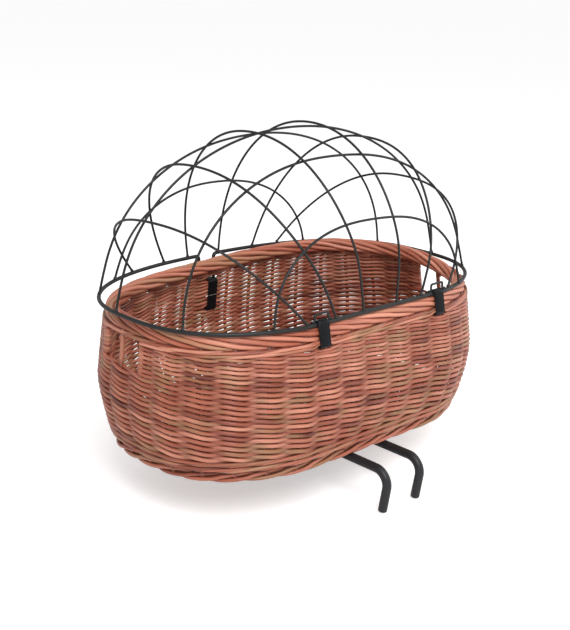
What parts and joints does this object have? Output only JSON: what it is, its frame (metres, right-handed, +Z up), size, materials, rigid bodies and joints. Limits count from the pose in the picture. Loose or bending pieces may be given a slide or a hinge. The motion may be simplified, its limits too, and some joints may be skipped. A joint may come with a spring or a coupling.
{
  "type": "dog bicycle basket",
  "caption": "Oval woven willow pet basket for a bicycle handlebar, with a hinged wire dome cage, end grip holes, a buckled back strap and hook rods under the base.",
  "frame": {"origin": "on the ground plane through the hook tips, under the middle of the whole part", "axes": "+Z up, +X along the basket's length, -Y towards the handlebar side with the hinge straps and the hooks, +Y towards the buckle"},
  "size_m": [0.5135, 0.3903, 0.4334],
  "materials": {
    "willow": "stained reddish willow rods, satin",
    "coated_wire": "black coated steel wire, semi gloss",
    "coated_rod": "black coated steel rod, satin",
    "strap_leather": "black strap leather, worn to a shine at the bends",
    "zinc_steel": "zinc plated steel"
  },
  "bodies": {
    "tub": {"inner_strip_front": "zinc_steel", "inner_strip_back": "zinc_steel", "bolt_1": "zinc_steel", "bolt_2": "zinc_steel", "bolt_3": "zinc_steel", "bolt_4": "zinc_steel", "nut_1": "zinc_steel", "nut_2": "zinc_steel", "nut_3": "zinc_steel", "nut_4": "zinc_steel", "buckle_frame": "zinc_steel", "hook_rod_left": "coated_rod", "hook_rod_right": "coated_rod", "rod_saddle_front": "coated_rod", "rod_saddle_back": "coated_rod", "woven_wall": "willow", "woven_base": "willow", "rim_border": "willow", "foot_border": "willow", "grip_stake_left": "willow", "grip_stake_right": "willow", "hinge_strap_left": "strap_leather", "hinge_strap_right": "strap_leather", "closure_strap": "strap_leather", "closure_flap": "strap_leather"},
    "cage": {"cage_ring": "coated_wire", "cross_wire_1": "coated_wire", "cross_wire_2": "coated_wire", "cross_wire_3": "coated_wire", "cross_wire_4": "coated_wire", "cross_wire_5": "coated_wire", "cross_wire_6": "coated_wire", "long_wire_1": "coated_wire", "long_wire_2": "coated_wire", "long_wire_3": "coated_wire", "long_wire_4": "coated_wire", "long_wire_5": "coated_wire", "strap_eye_left": "coated_wire", "strap_eye_right": "coated_wire"},
    "prong": {"buckle_prong": "zinc_steel"}
  },
  "joints": [
    {"name": "cage_hinge", "type": "hinge", "parent": "tub", "child": "cage", "pos_m": [0, -0.14057, 0.23527], "axis": [1, 0, 0], "range_deg": [0, 95], "deforming": ["closure_flap"]},
    {"name": "prong_hinge", "type": "hinge", "parent": "tub", "child": "prong", "pos_m": [0, 0.18925, 0.16877], "axis": [-1, 0, 0], "range_deg": [0, 100], "deforming": ["closure_flap"]}
  ]
}
